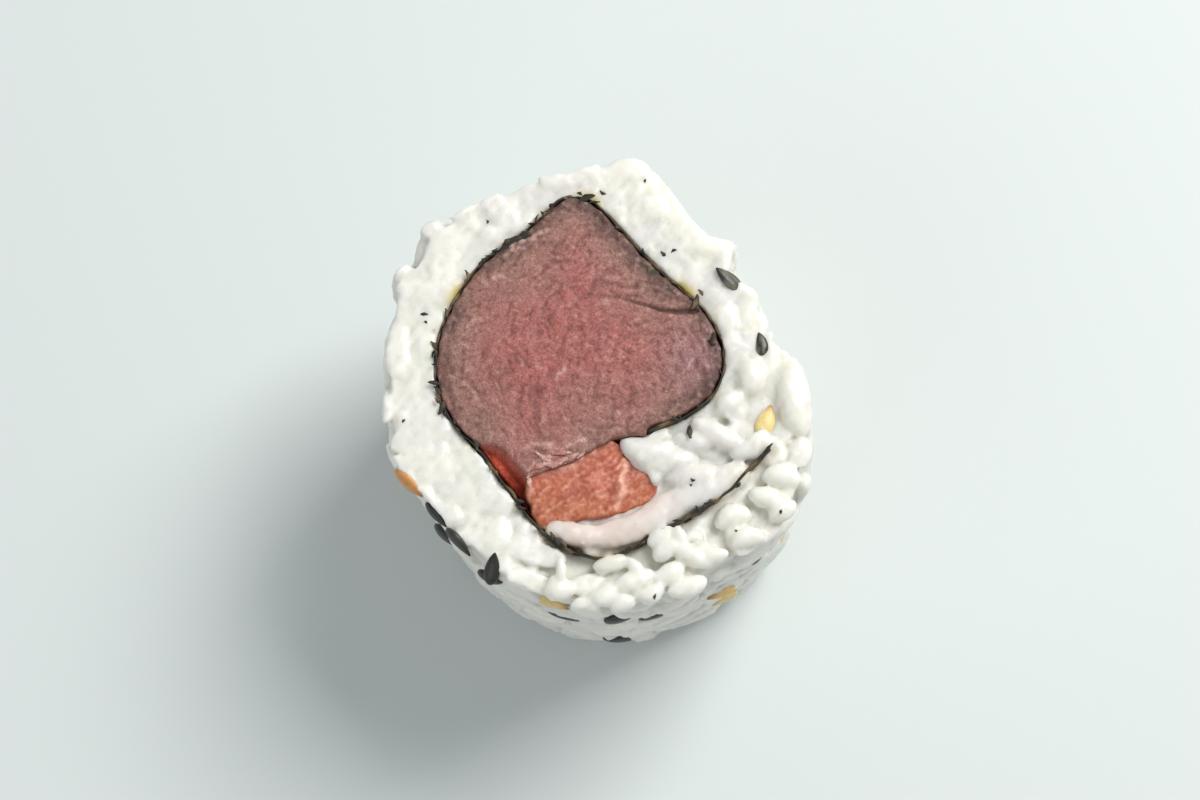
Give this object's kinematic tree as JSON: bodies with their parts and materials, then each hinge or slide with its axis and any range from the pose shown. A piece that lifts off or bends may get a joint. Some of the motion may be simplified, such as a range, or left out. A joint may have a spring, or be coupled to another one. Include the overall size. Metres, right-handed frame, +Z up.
{
  "type": "tuna roll",
  "caption": "Inside-out roll slice standing on its cut end: a thick ring of rice with sesame seeds, a thin sheet of nori, a block of raw tuna and a paler strip.",
  "frame": {"origin": "middle of the bounding box, on the flat cut face that the piece stands on", "axes": "+Z up along the roll's axis, out of the cut face that shows; +X and +Y are the picture's right and up on that face"},
  "size_m": [0.0396, 0.0436, 0.0323],
  "materials": {
    "rice": "satin",
    "nori": "satin",
    "tuna": "satin",
    "tuna_strip": "satin",
    "sesame_toasted": "satin",
    "sesame_black": "satin"
  },
  "bodies": {
    "root": {"rice": "rice", "nori": "nori", "tuna": "tuna", "tuna_strip": "tuna_strip"}
  },
  "joints": []
}
